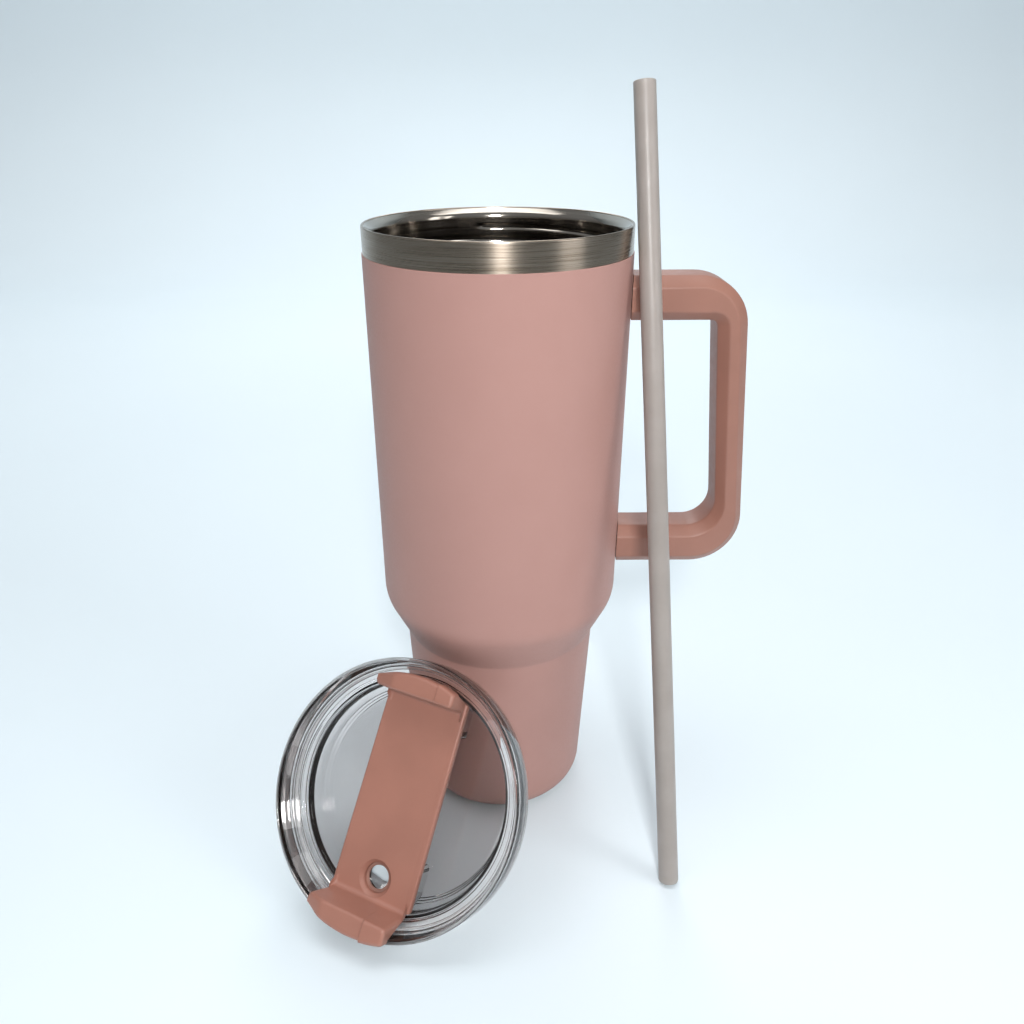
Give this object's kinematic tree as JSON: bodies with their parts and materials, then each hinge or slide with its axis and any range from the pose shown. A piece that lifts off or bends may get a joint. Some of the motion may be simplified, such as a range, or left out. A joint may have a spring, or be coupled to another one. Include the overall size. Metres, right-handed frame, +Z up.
{
  "type": "insulated tumbler with lid",
  "caption": "Tall insulated steel tumbler with side handle, clear lid with rotating cover, and straw; the lid leans on the cup and the straw on its rim.",
  "frame": {"origin": "centre of the cup's foot, on the surface that the cup stands on", "axes": "+Z up along the cup's axis, out of its mouth; +X towards the handle"},
  "size_m": [0.19, 0.1597, 0.2975],
  "materials": {
    "bare_steel": "brushed",
    "liner_steel": "polished",
    "powder_coat": "fine matte powder coat, dusty pink",
    "handle_plastic": "satin",
    "cover_plastic": "satin",
    "clear_plastic": "clear, glossy",
    "gasket_rubber": "matte",
    "seal_silicone": "matte",
    "straw_plastic": "frosted, translucent",
    "copper_foil": "bright copper",
    "insert_brass": "machined",
    "screw_steel": "machined"
  },
  "bodies": {
    "cup": {"outer_shell": "bare_steel", "powder_coat": "powder_coat", "inner_shell": "liner_steel", "radiant_barrier": "copper_foil", "base_plate": "bare_steel", "vacuum_seal": "screw_steel", "getter": "screw_steel", "upper_bracket": "bare_steel", "lower_bracket": "bare_steel", "handle": "handle_plastic", "handle_screws": "screw_steel", "screw_plugs": "handle_plastic"},
    "lid": {"lid_body": "clear_plastic", "lid_gasket": "gasket_rubber", "pivot_washer": "screw_steel", "pivot_ring": "gasket_rubber"},
    "cover": {"rotating_cover": "cover_plastic", "straw_seal": "seal_silicone", "sip_seal": "seal_silicone", "pivot_insert": "insert_brass", "pivot_screw": "screw_steel"},
    "straw": {"straw": "straw_plastic"}
  },
  "joints": [
    {"name": "lid_lift", "type": "slide", "parent": "cup", "child": "lid", "axis": [-0.3362, -0.7209, 0.606], "range_m": [0, 0.15]},
    {"name": "cover_turn", "type": "hinge", "parent": "lid", "child": "cover", "pos_m": [-0.04201, -0.07307, 0.04809], "axis": [-0.3362, -0.7209, 0.606], "range_deg": [0, 60]},
    {"name": "straw_draw", "type": "slide", "parent": "cup", "child": "straw", "axis": [-0.0587, 0.2252, 0.9725], "range_m": [0, 0.2]}
  ]
}
